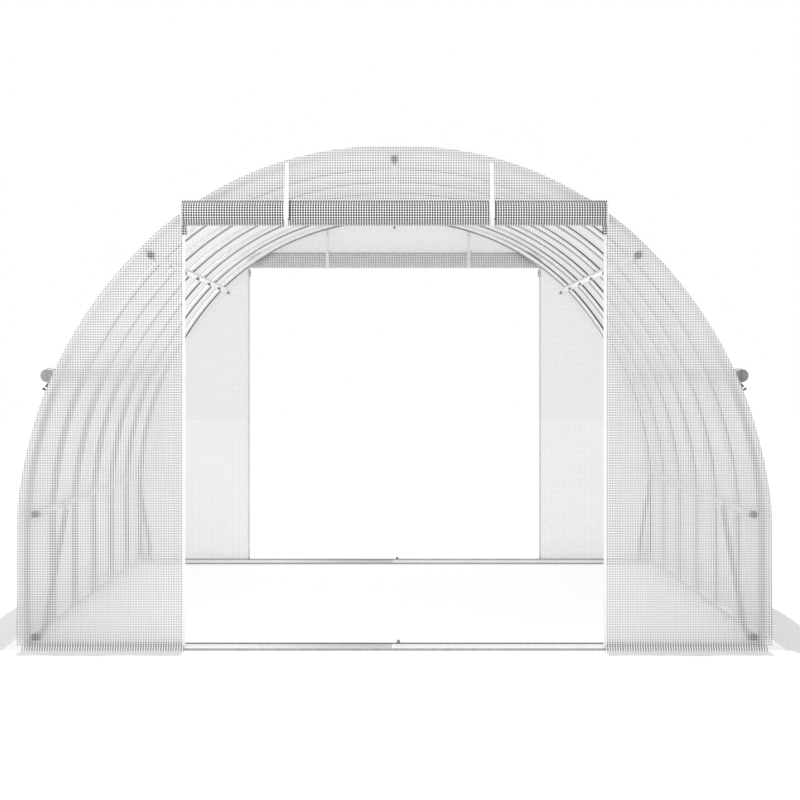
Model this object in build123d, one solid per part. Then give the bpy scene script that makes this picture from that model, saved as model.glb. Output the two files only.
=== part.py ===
from build123d import *
import math
import os
from typing import NamedTuple

os.makedirs("parts", exist_ok=True)

# Frame layout, millimetres
BAY_LENGTH = 990.0
BAY_COUNT = 6
LEG_X = 1457.5
SPRING_Z = 530.0
RIDGE_Z = 1982.7
GROUND_PURLIN_Z = 54.0
WAIST_ABOVE_SPRING = 11.0
SEAT_GAP = 0.3

# Points of the arch as shares of half span and of rise over the legs
HOOP_HAUNCH_SHARES = (0.933, 0.3235)
HOOP_CROWN_SHARES = (0.3683, 0.9326)
SHOULDER_SHARES = (0.679, 0.7315)
COVER_HAUNCH_SHARES = (0.8952, 0.435)
COVER_CROWN_SHARES = (0.3683, 0.9362)
WINDOW_SILL_SHARE = 0.1425
WINDOW_HEAD_SHARE = 0.369

# Tubes with a swaged end that slides into the next tube
TUBE_RADIUS = 16.0
TUBE_WALL = 1.0
SPIGOT_RADIUS = 12.5
SPIGOT_LENGTH = 25.0
SWAGE_TAPER = 12.0
JOINT_NECK = 5.0
PURLIN_END = 14.0

# Diagonal braces with flattened ends
BRACE_RADIUS = 12.5
BRACE_TAB_THICKNESS = 4.0
BRACE_TAB_WIDTH = 30.0
BRACE_TAB_LENGTH = 34.0
BRACE_TAB_END = 9.0
BRACE_TAPER = 40.0

# Cover sheet and gable panels
SHEET_THICKNESS = 2.0
WALL_STANDOFF = 22.5
WALL_FOOT_Z = 60.0
PANEL_FOOT_Z = 20.0
DOOR_HALF_WIDTH = 830.0
HEADER_HEIGHT = 197.7

# Rolled doors, their flaps and straps
DOOR_ROLL_RADIUS = 48.5
DOOR_ROLL_DROP = 4.5
REAR_ROLL_LIFT = 16.0
DOOR_ROLL_LAP = 15.0
DOOR_ROLL_PITCH = 4.2
DOOR_ROLL_HALF_TURNS = 20
DOOR_FLAP_LAP = 15.0
STRAP_THICKNESS = 1.5
STRAP_WIDTH = 18.0
STRAP_PLACE_SHARES = (-0.514, 0.464)
STRAP_TOP_DROP = 47.7
STRAP_INSIDE_DROP = 102.7
STRAP_INSIDE_OFFSET = 1.6

# Side windows, their screens and rolled flaps
WINDOW_WIDTH = 800.0
SCREEN_THICKNESS = 1.0
WINDOW_ROLL_RISE = 8.0
WINDOW_ROLL_RADIUS = 26.0
WINDOW_ROLL_PITCH = 5.0
WINDOW_ROLL_HALF_TURNS = 8
WINDOW_ROLL_LAP = 25.0
WINDOW_FLAP_TAIL = 45.0

# Skirts on the ground
SIDE_SKIRT_SLOPE = 62.0
SIDE_SKIRT_REACH = 272.0
GABLE_SKIRT_SLOPE = 32.0
GABLE_SKIRT_REACH = 269.5
GABLE_SKIRT_INSET = 17.3
GABLE_SKIRT_CLEAR = 4.0
TONGUE_ROOT = 75.0
TONGUE_TIP = 102.0

# Places that follow from the sizes
HALF_LENGTH = BAY_LENGTH * BAY_COUNT / 2
TUBE_DIAMETER = 2 * TUBE_RADIUS
SHEET_INNER = TUBE_RADIUS + SEAT_GAP
SHEET_OUTER = SHEET_INNER + SHEET_THICKNESS
PURLIN_SEAT = -(TUBE_DIAMETER + SEAT_GAP)
PANEL_BACK_Y = HALF_LENGTH + TUBE_RADIUS + SEAT_GAP
PANEL_FRONT_Y = PANEL_BACK_Y + SHEET_THICKNESS
WALL_X = LEG_X + WALL_STANDOFF
DOOR_HEAD_Z = RIDGE_Z - HEADER_HEIGHT
FRONT_ROLL_Z = DOOR_HEAD_Z - DOOR_ROLL_RADIUS - DOOR_ROLL_DROP
ROLL_Z = {-1: FRONT_ROLL_Z, 1: FRONT_ROLL_Z + REAR_ROLL_LIFT}
WINDOW_SILL_Z = SPRING_Z + (RIDGE_Z - SPRING_Z) * WINDOW_SILL_SHARE
WINDOW_HEAD_Z = SPRING_Z + (RIDGE_Z - SPRING_Z) * WINDOW_HEAD_SHARE
HOOP_Y = [BAY_LENGTH * n - HALF_LENGTH for n in range(BAY_COUNT + 1)]
BAY_Y = [(a + b) / 2 for a, b in zip(HOOP_Y, HOOP_Y[1:])]
HANDS = ((-1, "left"), (1, "right"))
GABLES = ((-1, "front"), (1, "rear"))


def save(name, solids):
    export_step(Compound(solids) if len(solids) > 1 else solids[0], f"parts/{name}.step")


def prism(edges, length, direction):
    return extrude(Face(Wire(edges)), amount=length, dir=direction)


def outline(points):
    return [Line(a, b) for a, b in zip(points, points[1:] + points[:1])]


# Half profile of the arch: arcs in x and z, read as points with outward normals
class Arch(NamedTuple):
    centre: tuple
    radius: float
    start: float
    end: float

    def at(self, shares):
        angle = self.start + shares * (self.end - self.start)
        normal = (math.cos(angle), math.sin(angle))
        return tuple(c + self.radius * n for c, n in zip(self.centre, normal)), normal

    def share_at_height(self, z):
        return (math.asin((z - self.centre[1]) / self.radius) - self.start) / (self.end - self.start)


def bearing(centre, point):
    return math.atan2(point[1] - centre[1], point[0] - centre[0])


def arch_through(a, b, c):
    ab, bc = (b[0] - a[0], b[1] - a[1]), (c[0] - b[0], c[1] - b[1])
    p = (b[0] ** 2 + b[1] ** 2 - a[0] ** 2 - a[1] ** 2) / 2
    q = (c[0] ** 2 + c[1] ** 2 - b[0] ** 2 - b[1] ** 2) / 2
    det = ab[0] * bc[1] - ab[1] * bc[0]
    centre = ((p * bc[1] - q * ab[1]) / det, (ab[0] * q - bc[0] * p) / det)
    return Arch(centre, math.dist(centre, a), bearing(centre, a), bearing(centre, c))


def arch_point(shares):
    return LEG_X * shares[0], SPRING_Z + (RIDGE_Z - SPRING_Z) * shares[1]


SHOULDER, RIDGE = arch_point(SHOULDER_SHARES), (0, RIDGE_Z)
HOOP_LOW = arch_through((LEG_X, SPRING_Z), arch_point(HOOP_HAUNCH_SHARES), SHOULDER)
HOOP_TOP = arch_through(SHOULDER, arch_point(HOOP_CROWN_SHARES), RIDGE)
COVER_LOW = arch_through((WALL_X, SPRING_Z), arch_point(COVER_HAUNCH_SHARES), SHOULDER)
COVER_TOP = arch_through(SHOULDER, arch_point(COVER_CROWN_SHARES), RIDGE)


def shoulder_station(low, top):
    angle = (low.end + top.start) / 2
    return SHOULDER, (math.cos(angle), math.sin(angle))


def place(station, offset, side, y):
    (x, z), (nx, nz) = station
    return Vector(side * (x + offset * nx), y, z + offset * nz)


# Tubes of the frame
def swage():
    inner, neck = TUBE_RADIUS - TUBE_WALL, SPIGOT_RADIUS - TUBE_WALL
    tip = SWAGE_TAPER + SPIGOT_LENGTH
    points = [(inner, 0), (TUBE_RADIUS, 0), (SPIGOT_RADIUS, SWAGE_TAPER), (SPIGOT_RADIUS, tip),
              (neck, tip), (neck, SWAGE_TAPER)]
    section = Face(Wire(outline([Vector(r, 0, h) for r, h in points])))
    return revolve(section, Axis.Z, 360.0)


SWAGE = swage()
RING = Circle(TUBE_RADIUS) - Circle(TUBE_RADIUS - TUBE_WALL)


def straight_tube(start, end, swaged):
    start, end = Vector(*start), Vector(*end)
    tube = extrude(RING, amount=(end - start).length)
    if swaged:
        tube += Pos(0, 0, (end - start).length) * SWAGE
    return (Plane(start, z_dir=end - start) * tube).solid()


def bent_tube(arch, side, swaged):
    trim = JOINT_NECK / 2 / arch.radius / (arch.end - arch.start)
    first, last = arch.at(trim), arch.at(1 - trim)
    turn = math.degrees((arch.end - arch.start) * (1 - 2 * trim))
    axis = Axis((side * arch.centre[0], 0, arch.centre[1]), (0, -side, 0))
    tangents = [Vector(-side * n[1], 0, n[0]) for _, n in (first, last)]
    tube = revolve(Plane(place(first, 0, side, 0), z_dir=tangents[0]) * RING, axis, turn)
    if swaged:
        tube += Plane(place(last, 0, side, 0), z_dir=tangents[1]) * SWAGE
    return tube.solid()


def hoop_tubes():
    tubes = []
    for side, _ in HANDS:
        foot, head = Vector(side * LEG_X, 0, 0), Vector(side * LEG_X, 0, SPRING_Z - JOINT_NECK / 2)
        tubes += [straight_tube(foot, head, True)]
        tubes += [bent_tube(HOOP_LOW, side, True), bent_tube(HOOP_TOP, side, side < 0)]
    return tubes


HOOP = hoop_tubes()
for number, y in enumerate(HOOP_Y, 1):
    save(f"hoop_{number}", [tube.moved(Pos(0, y, 0)) for tube in HOOP])


def purlin(station, side):
    starts = [HOOP_Y[0] - PURLIN_END] + [y + JOINT_NECK / 2 for y in HOOP_Y[1:-1]]
    ends = [y - JOINT_NECK / 2 for y in HOOP_Y[1:-1]] + [HOOP_Y[-1] + PURLIN_END]
    tubes = []
    for a, b in zip(starts, ends):
        ends_of_tube = place(station, PURLIN_SEAT, side, a), place(station, PURLIN_SEAT, side, b)
        tubes += [straight_tube(*ends_of_tube, b != ends[-1])]
    return tubes


WAIST_Z = SPRING_Z + WAIST_ABOVE_SPRING
WAIST_X = HOOP_LOW.at(HOOP_LOW.share_at_height(WAIST_Z))[0][0]
save("ridge_purlin", purlin((RIDGE, (0, 1)), 1))
for side, hand in HANDS:
    save(f"{hand}_shoulder_purlin", purlin(shoulder_station(HOOP_LOW, HOOP_TOP), side))
    save(f"{hand}_waist_purlin", purlin(((WAIST_X, WAIST_Z), (1, 0)), side))
    save(f"{hand}_ground_purlin", purlin(((LEG_X, GROUND_PURLIN_Z), (1, 0)), side))

# Sill tubes across both ends
SILL_X = LEG_X - TUBE_RADIUS - SEAT_GAP
for y, gable in ((HOOP_Y[0], "front"), (HOOP_Y[-1], "rear")):
    halves = []
    for a, b, swaged in ((-SILL_X, -JOINT_NECK / 2, True), (JOINT_NECK / 2, SILL_X, False)):
        halves += [straight_tube((a, y, TUBE_RADIUS), (b, y, TUBE_RADIUS), swaged)]
    save(f"{gable}_sill", halves)


# Braces in the first and last bays, flattened where they bolt on
def brace(low, high, side):
    along = (high - low).normalized()
    offset = BRACE_RADIUS - BRACE_TAB_THICKNESS / 2
    tab = Rectangle(BRACE_TAB_THICKNESS, BRACE_TAB_WIDTH)
    solid = None
    for end, inward in ((low, along), (high, -along)):
        plane = Plane(end - inward * BRACE_TAB_END, x_dir=(side, 0, 0), z_dir=inward)
        flat = extrude(Pos(offset, 0) * tab, amount=BRACE_TAB_LENGTH)
        neck = Pos(0, 0, BRACE_TAB_LENGTH)
        round_end = Pos(0, 0, BRACE_TAB_LENGTH + BRACE_TAPER)
        taper = loft([neck * Pos(offset, 0) * tab, round_end * Circle(BRACE_RADIUS)])
        piece = plane * (flat + taper)
        solid = piece if solid is None else solid + piece
    clear = BRACE_TAB_LENGTH + BRACE_TAPER - BRACE_TAB_END
    middle = (high - low).length - 2 * clear
    start = Plane(low + along * clear, x_dir=(side, 0, 0), z_dir=along)
    solid += start * extrude(Circle(BRACE_RADIUS), amount=middle)
    return solid.solid()


BRACE_X = WAIST_X + PURLIN_SEAT - TUBE_RADIUS - SEAT_GAP - BRACE_RADIUS
for side, hand in HANDS:
    braces = []
    for low_y, high_y in ((HOOP_Y[0], HOOP_Y[1]), (HOOP_Y[-1], HOOP_Y[-2])):
        low = Vector(side * BRACE_X, low_y, GROUND_PURLIN_Z)
        braces += [brace(low, Vector(side * BRACE_X, high_y, WAIST_Z), side)]
    save(f"{hand}_braces", braces)

# Cover sheet in bands round the arch, the lowest curved band cut by the windows
SPRING_STATION = ((WALL_X, SPRING_Z), (1, 0))
HAUNCH_SHARE = COVER_LOW.share_at_height(arch_point(COVER_HAUNCH_SHARES)[1])
CROWN_SHARE = 0.5
SHOULDER_STATION = shoulder_station(COVER_LOW, COVER_TOP)
RIDGE_STATION = (RIDGE, (0, 1))
BANDS = {
    "window_sheet": (SPRING_STATION, COVER_LOW.at(HAUNCH_SHARE / 2), COVER_LOW.at(HAUNCH_SHARE)),
    "haunch_sheet": (COVER_LOW.at(HAUNCH_SHARE), COVER_LOW.at((HAUNCH_SHARE + 1) / 2), SHOULDER_STATION),
    "roof_sheet": (SHOULDER_STATION, COVER_TOP.at(CROWN_SHARE / 2), COVER_TOP.at(CROWN_SHARE)),
    "ridge_sheet": (COVER_TOP.at(CROWN_SHARE), COVER_TOP.at((CROWN_SHARE + 1) / 2), RIDGE_STATION),
}
WINDOW_SHARES = [COVER_LOW.share_at_height(z) for z in (WINDOW_SILL_Z, WINDOW_HEAD_Z)]
WINDOW_ARC = [COVER_LOW.at(s) for s in (WINDOW_SHARES[0], sum(WINDOW_SHARES) / 2, WINDOW_SHARES[1])]
SCREEN_INNER = SHEET_INNER + (SHEET_THICKNESS - SCREEN_THICKNESS) / 2
SCREEN_OUTER = SCREEN_INNER + SCREEN_THICKNESS


def arc(stations, offset, side, y):
    return ThreePointArc(*[place(s, offset, side, y) for s in stations])


def sheet(stations, inner, outer, side, start, length):
    a, b = stations[0], stations[-1]
    edges = [Line(place(a, inner, side, start), place(a, outer, side, start))]
    edges += [arc(stations, outer, side, start)]
    edges += [Line(place(b, outer, side, start), place(b, inner, side, start))]
    edges += [arc(stations, inner, side, start)]
    return prism(edges, length, (0, 1, 0))


for side, hand in HANDS:
    foot = ((WALL_X, WALL_FOOT_Z), (1, 0))
    inner = [place(s, SHEET_INNER, side, -PANEL_BACK_Y) for s in (foot, SPRING_STATION)]
    outer = [place(s, SHEET_OUTER, side, -PANEL_BACK_Y) for s in (SPRING_STATION, foot)]
    wall = outline(inner + outer)
    save(f"{hand}_wall_sheet", [prism(wall, 2 * PANEL_BACK_Y, (0, 1, 0)).solid()])
    screens = []
    for band, stations in BANDS.items():
        shell = sheet(stations, SHEET_INNER, SHEET_OUTER, side, -PANEL_BACK_Y, 2 * PANEL_BACK_Y)
        if band == "window_sheet":
            for y in BAY_Y:
                start = y - WINDOW_WIDTH / 2
                shell -= sheet(WINDOW_ARC, 0, 2 * SHEET_OUTER, side, start, WINDOW_WIDTH)
                screens += [sheet(WINDOW_ARC, SCREEN_INNER, SCREEN_OUTER, side, start, WINDOW_WIDTH).solid()]
        save(f"{hand}_{band}", [shell.solid()])
    save(f"{hand}_window_screens", screens)


# Gable panels beside and over each doorway
def panel_side(side, y):
    corner_out = Vector(side * (WALL_X + SHEET_OUTER), y, PANEL_FOOT_Z)
    corner_in = Vector(side * DOOR_HALF_WIDTH, y, PANEL_FOOT_Z)
    centre = Vector(0, y, PANEL_FOOT_Z)
    edges = [Line(corner_out, place(SPRING_STATION, SHEET_OUTER, side, y))]
    edges += [arc((SPRING_STATION, COVER_LOW.at(HAUNCH_SHARE), SHOULDER_STATION), SHEET_OUTER, side, y)]
    edges += [arc((SHOULDER_STATION, COVER_TOP.at(CROWN_SHARE), RIDGE_STATION), SHEET_OUTER, side, y)]
    edges += [Line(place(RIDGE_STATION, SHEET_OUTER, side, y), centre), Line(centre, corner_out)]
    half = prism(edges, SHEET_THICKNESS, (0, 1, 0))
    split = Plane(corner_in, z_dir=(side, 0, 0))
    over = half.split(split, keep=Keep.BOTTOM)
    over = over.split(Plane((0, y, DOOR_HEAD_Z), z_dir=(0, 0, 1)), keep=Keep.TOP)
    return half.split(split, keep=Keep.TOP).solid(), over.solid()


for y, gable in ((-PANEL_FRONT_Y, "front"), (PANEL_BACK_Y, "rear")):
    left, over_left = panel_side(-1, y)
    right, over_right = panel_side(1, y)
    save(f"{gable}_panel_left", [left])
    save(f"{gable}_panel_right", [right])
    save(f"{gable}_panel_header", [(over_left + over_right).solid()])


# Rolled flaps: sheet wound in half turns, with the tail that it hangs by
def roll(radius, pitch, half_turns, tail, plane, length):
    step = pitch / 2
    skins = []
    for thick in (-SHEET_THICKNESS / 2, SHEET_THICKNESS / 2):
        r, centre, turn = radius - SHEET_THICKNESS / 2, radius, 180.0
        edges = [Line((radius - r - thick, tail), (radius - r - thick, 0))]
        for n in range(half_turns):
            edges += [CenterArc((centre, 0), r + thick, turn, 180.0)]
            centre += step if n % 2 == 0 else -step
            r -= step
            turn += 180.0
        skins += [edges]
    first, second = skins
    ends = [Line(first[0] @ 0, second[0] @ 0), Line(first[-1] @ 1, second[-1] @ 1)]
    return prism([plane * edge for edge in first + second + ends], length, plane.z_dir).solid()


DOOR_ROLL_X = DOOR_HALF_WIDTH + DOOR_ROLL_LAP
for outward, gable in GABLES:
    origin = Vector(-outward * DOOR_ROLL_X, outward * (PANEL_FRONT_Y + SEAT_GAP), ROLL_Z[outward])
    face = Plane(origin, x_dir=(0, outward, 0), z_dir=(outward, 0, 0))
    tail = DOOR_HEAD_Z + DOOR_FLAP_LAP - ROLL_Z[outward]
    winding = (DOOR_ROLL_RADIUS, DOOR_ROLL_PITCH, DOOR_ROLL_HALF_TURNS, tail)
    save(f"{gable}_door_roll", [roll(*winding, face, 2 * DOOR_ROLL_X)])

ROLL_STATION = COVER_LOW.at(COVER_LOW.share_at_height(WINDOW_HEAD_Z + WINDOW_ROLL_RISE))
WINDOW_ROLL_LENGTH = WINDOW_WIDTH + 2 * WINDOW_ROLL_LAP
for side, hand in HANDS:
    rolls = []
    for y in BAY_Y:
        origin = place(ROLL_STATION, SHEET_OUTER + SEAT_GAP, side, y + side * WINDOW_ROLL_LENGTH / 2)
        normal = (side * ROLL_STATION[1][0], 0, ROLL_STATION[1][1])
        face = Plane(origin, x_dir=normal, z_dir=(0, -side, 0))
        winding = (WINDOW_ROLL_RADIUS, WINDOW_ROLL_PITCH, WINDOW_ROLL_HALF_TURNS, WINDOW_FLAP_TAIL)
        rolls += [roll(*winding, face, WINDOW_ROLL_LENGTH)]
    save(f"{hand}_window_rolls", rolls)


# Straps that loop under each rolled door, from the hoop outside to the header inside
def strap(x, outward):
    centre = (DOOR_ROLL_RADIUS + SEAT_GAP, ROLL_Z[outward])
    ring = DOOR_ROLL_RADIUS + SEAT_GAP + STRAP_THICKNESS / 2
    top = (STRAP_THICKNESS, RIDGE_Z - STRAP_TOP_DROP)
    touch = bearing(centre, top) - math.acos(ring / math.dist(centre, top))
    face = Plane((x, outward * PANEL_FRONT_Y, 0), x_dir=(0, outward, 0), z_dir=(outward, 0, 0))
    skins = []
    for thick in (-STRAP_THICKNESS / 2, STRAP_THICKNESS / 2):
        bend = CenterArc(centre, ring + thick, math.degrees(touch), -math.degrees(touch) - 180.0)
        start = (top[0] + math.cos(touch) * thick, top[1] + math.sin(touch) * thick)
        inside = -SHEET_THICKNESS - STRAP_INSIDE_OFFSET - thick
        rise = Line(bend @ 1, (inside, DOOR_HEAD_Z))
        skins += [[Line(start, bend @ 0), bend, rise, Line(rise @ 1, (inside, RIDGE_Z - STRAP_INSIDE_DROP))]]
    first, second = skins
    ends = [Line(first[0] @ 0, second[0] @ 0), Line(first[-1] @ 1, second[-1] @ 1)]
    band = prism([face * edge for edge in first + second + ends], STRAP_WIDTH, face.z_dir).solid()
    return band.moved(Pos(-outward * STRAP_WIDTH / 2, 0, 0))


STRAP_X = [DOOR_HALF_WIDTH * share for share in STRAP_PLACE_SHARES]
save("door_straps", [strap(-outward * x, outward) for outward, _ in GABLES for x in STRAP_X])


# Skirts that lie out on the ground
def skirt_section(start, slope, reach, rise):
    t = SHEET_THICKNESS
    return [(start, rise), (start + t, rise), (start + slope + t, t), (start + reach, t),
            (start + reach, 0), (start + slope, 0)]


SKIRT_X = WALL_X + SHEET_INNER
for side, hand in HANDS:
    section = skirt_section(SKIRT_X, SIDE_SKIRT_SLOPE, SIDE_SKIRT_REACH, WALL_FOOT_Z)
    points = [Vector(side * u, -PANEL_BACK_Y, z) for u, z in section]
    skirt = prism(outline(points), 2 * PANEL_BACK_Y, (0, 1, 0))
    for end in (-1, 1):
        near, far = end * PANEL_BACK_Y, end * (PANEL_BACK_Y + GABLE_SKIRT_REACH)
        plan = [(TONGUE_ROOT, near), (SIDE_SKIRT_REACH, near), (SIDE_SKIRT_REACH, far), (TONGUE_TIP, far)]
        flat = [Vector(side * (SKIRT_X + u), y, 0) for u, y in plan]
        skirt += prism(outline(flat), SHEET_THICKNESS, (0, 0, 1))
    save(f"{hand}_skirt", [skirt.solid()])

GABLE_SKIRT_X = (DOOR_HALF_WIDTH + GABLE_SKIRT_CLEAR, WALL_X + SHEET_OUTER - GABLE_SKIRT_INSET)
for outward, gable in GABLES:
    pieces = []
    for side, _ in HANDS:
        a, b = sorted(side * x for x in GABLE_SKIRT_X)
        section = skirt_section(PANEL_BACK_Y, GABLE_SKIRT_SLOPE, GABLE_SKIRT_REACH, PANEL_FOOT_Z)
        points = [Vector(a, outward * u, z) for u, z in section]
        pieces += [prism(outline(points), b - a, (1, 0, 0)).solid()]
    save(f"{gable}_skirts", pieces)
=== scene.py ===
import bpy
import math
import numpy as np
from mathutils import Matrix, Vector


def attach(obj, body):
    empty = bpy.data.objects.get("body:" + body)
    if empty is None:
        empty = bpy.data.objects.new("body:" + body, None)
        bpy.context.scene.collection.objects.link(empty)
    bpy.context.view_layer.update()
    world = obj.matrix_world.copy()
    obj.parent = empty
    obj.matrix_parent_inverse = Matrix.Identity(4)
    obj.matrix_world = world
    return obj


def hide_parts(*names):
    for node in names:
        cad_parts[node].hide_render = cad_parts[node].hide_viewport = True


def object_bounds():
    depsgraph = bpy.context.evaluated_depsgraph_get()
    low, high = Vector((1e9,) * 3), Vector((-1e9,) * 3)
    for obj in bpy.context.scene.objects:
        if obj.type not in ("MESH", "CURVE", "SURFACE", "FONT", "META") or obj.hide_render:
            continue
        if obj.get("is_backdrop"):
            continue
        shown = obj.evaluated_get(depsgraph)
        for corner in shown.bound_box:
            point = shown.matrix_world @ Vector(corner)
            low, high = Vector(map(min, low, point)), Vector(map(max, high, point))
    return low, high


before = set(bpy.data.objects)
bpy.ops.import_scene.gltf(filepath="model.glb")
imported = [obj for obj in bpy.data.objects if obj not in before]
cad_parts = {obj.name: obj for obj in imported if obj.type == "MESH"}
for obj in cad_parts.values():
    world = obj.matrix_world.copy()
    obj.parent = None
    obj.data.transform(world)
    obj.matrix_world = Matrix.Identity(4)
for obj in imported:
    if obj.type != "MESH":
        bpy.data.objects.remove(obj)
CAD_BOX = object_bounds()

# Sizes of the frame and cover, metres
BAY, BAYS = 0.99, 6
HALF = BAY * BAYS / 2
LEG_X, SPRING_Z, RIDGE_Z = 1.4575, 0.530, 1.9827
WALL_X = 1.480
TUBE_R = 0.016
SHOULDER_SHARES = (0.679, 0.7315)
COVER_HAUNCH_SHARES, COVER_CROWN_SHARES = (0.8952, 0.435), (0.3683, 0.9362)
HOOP_HAUNCH_SHARES, HOOP_CROWN_SHARES = (0.933, 0.3235), (0.3683, 0.9326)
COVER_LIFT, EDGE_LIFT, SAG = 0.0173, 0.0183, 0.006
PANEL_Y = HALF + COVER_LIFT
FOOT_Z, PANEL_FOOT_Z = 0.060, 0.020
DOOR_X, DOOR_Z = 0.830, 1.785
WINDOW_Z, WINDOW_W = (0.737, 1.066), 0.800
PURLIN_DROP = 0.0323
WAIST_Z, GROUND_Z = 0.541, 0.054

# Half the thickness of the solids' sheet, and the gap between pieces that touch
FACE, SEAT = 0.001, 0.0003

# Scrim and net: pitch of the yarns and share of it that is clear
PITCH, NET_PITCH = 0.0100, 0.0030
HOLE_SHARES, SKIRT_HOLE_SHARES = (0.60, 0.60), (0.60, 0.85)
ROLL_HOLE_SHARES, FRONT_ROLL_HOLE_SHARES = (0.75, 0.75), (0.79, 0.77)
NET_HOLE_SHARES = (0.72, 0.72)

# Zips: tape, teeth and dark patches of painted shade near the top, with x from the doorway's edge and lifts
# off the panel
ZIP_TAPE, ZIP_PITCH, ZIP_MARGIN = 0.012, 0.004, 0.005
TAPE_LIFT, TEETH_LIFT, SHADE_PATCH_LIFT = 0.0014, 0.0022, 0.0026
TEETH_X = (-0.0015, 0.0035)
# Dark patches near each zip's top: painted shade of the rolled door behind the panel
SHADE_PATCH, SHADE_PATCH_SKIN, SHADE_PATCH_X = 0.0068, 0.0008, (-0.006, 0.004)
SHADE_PATCH_Z = (1.651, 1.661, 1.671, 1.681)

# Rolled doors: radius, pitch and half turns of the winding, and the hems at both ends
DOOR_ROLL_R, DOOR_ROLL_PITCH, DOOR_ROLL_HALF_TURNS = 0.0485, 0.0042, 20
DOOR_FILM, TAIL_LAP = 0.0016, 0.0015
ROLL_X, ROLL_LIFT, ROLL_Z = 0.845, 0.0186, {-1: 1.732, 1: 1.748}
ROLL_HEM, ROLL_HEM_LIFT, ROLL_HEM_SKIN = 0.007, 0.0022, 0.001
ROLL_HEM_ROWS = slice(4, 34)

# Straps: one band over the roll and through the panel, and the layers that lie on it
STRAP_X, STRAP_DROP, STRAP_BACK_DROP = (-0.4266, 0.3851), 0.0477, 0.1027
STRAP_W, STRAP_SKIN, STRAP_OFF = 0.0155, 0.0012, 0.0025
STRAP_FRONT, STRAP_BACK, STRAP_TURN_IN = 0.0022, -0.0036, 0.03
STRAP_LEAVES_ROLL = 0.25 - math.pi
# A layer: first and last angle in degrees, distance off the roll, width, thickness and steps
STRAP_LAYERS = [(86, -24, 0.0040, 0.0215, 0.0015, 12),
                (64, 60, 0.0052, 0.0215, 0.0012, 3),
                (-24, -58, 0.0040, 0.0125, 0.0012, 6)]
# A dark strip beside each strap's patch on the roll, painted shadow of the strap: its shift across and its
# layer
STRAP_SHADOW_X, STRAP_SHADOW_LAYER = 0.0110, (80, -30, 0.0032, 0.008, 0.0010, 12)

# Windows: hems, rolled flaps, and ties with their loop's angles in degrees
WINDOW_HEM, WINDOW_HEM_LIFT = 0.018, 0.0014
FLAP_R, FLAP_PITCH, FLAP_HALF_TURNS, FLAP_TAIL = 0.026, 0.005, 10, 0.045
FLAP_RISE, FLAP_LAP, FLAP_FILM = 0.008, 0.025, 0.0030
TIE_REACH, TIE_W, TIE_SKIN, TIE_OFF, TIE_FOLD = 0.300, 0.012, 0.0012, 0.003, 0.007
TIE_ANGLES = (150, -130)
TIE_TAILS = [[(0.002, -0.027), (0.009, -0.036), (0.018, -0.046)],
             [(0.012, -0.059), (0.020, -0.057), (0.030, -0.051)]]

# Skirts: slope down from the wall, reach over the floor, tongues at the corners, and waves
SKIRT_SKIN, SKIRT_SEAT = 0.0012, 0.0163
SKIRT_X, SKIRT_Y = WALL_X + SKIRT_SEAT, HALF + SKIRT_SEAT
SIDE_SLOPE, SIDE_REACH = 0.062, 0.272
END_SLOPE, END_REACH, END_X = 0.032, 0.2695, (0.834, 1.481)
TONGUE_ROOT, TONGUE_TIP = 0.075, 0.102
WAVE, WAVE_START = 0.003, 0.08
# A term of the waves: share, rate along, rate across and shift
WAVE_TERMS = [(1.0, 5.3, 0.0, 1.0), (0.6, 11.7, 9.0, 2.1), (0.35, 23.0, -14.0, 0.0)]
END_WAVE_RATE = 3

# Bolts and tube plugs
PLUG_Y, PLUG_R, PLUG_DEPTH = 0.0125, 0.0149, 0.006
SILL_BOLT_X, SILL_BOLT_SINK = 0.0155, 0.0004
BOLT_CREASE, TUBE_CREASE = math.radians(35), math.radians(40)

# Floor, white surroundings, lights and camera
FLOOR_HALF, FLOOR_TONE, FLOOR_ROUGH, FLOOR_GLOW = 60.0, 0.60, 0.9, 0.50
SKY_LEVEL, SKY_GLOSSY_LEVEL, SKY_SEEN_LEVEL = 0.98, 0.95, 1.0
# A light: place, size and energy
LIGHTS = {"key": ((-10.0, -7.5, 8.0), 5.0, 620), "fill": ((6.0, -12.0, 4.0), 7.0, 110)}
LIGHT_AIM = (0, -1.0, 0.8)
CAMERA_PLACE, CAMERA_SHIFT = (0, -16.335, 1.114), (0.0069, -0.0375)
CAMERA_LENS, CAMERA_SENSOR, CAMERA_REACH = 151.5, 36.0, 200

# Axes, and places along the tunnel
X, Y, Z = np.eye(3)
HOOP_Y = [BAY * n - HALF for n in range(BAYS + 1)]
BAY_Y = [(a + b) / 2 for a, b in zip(HOOP_Y, HOOP_Y[1:])]
WINDOW_Y = [(y - WINDOW_W / 2, y + WINDOW_W / 2) for y in BAY_Y]


# Tones: the low and the high colour of a surface
def grey(low, high):
    return (low, low, low), (high, high, high)


WHITE = ((0.93, 0.935, 0.935), (0.97, 0.97, 0.97))
LIGHT = ((0.80, 0.805, 0.805), (0.86, 0.86, 0.86))
MILKY = ((0.74, 0.745, 0.745), (0.80, 0.80, 0.80))
# Hole tones of the rolled door films and flaps on these two lines: painted shade of their inner wraps
CLEAR, FRONT_WRAPS_SHADE = grey(0.02, 0.04), grey(0.003, 0.008)
REAR_WRAPS_SHADE, FLAP_WRAPS_SHADE = grey(0.20, 0.28), grey(0.17, 0.26)
THREAD = ((0.72, 0.74, 0.73), (0.84, 0.85, 0.84))
TAPE_WHITE = ((0.86, 0.87, 0.87), (0.94, 0.94, 0.94))
WEB_WHITE = grey(0.88, 0.96)
TIE_GREEN = ((0.010, 0.030, 0.024), (0.020, 0.060, 0.045))
# Black of the purlin plugs, also used for the painted shade by the zips and the painted shadows beside the
# straps
PLUG_BLACK_AND_SHADE = ((0.015, 0.015, 0.016), (0.035, 0.035, 0.036))
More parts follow.
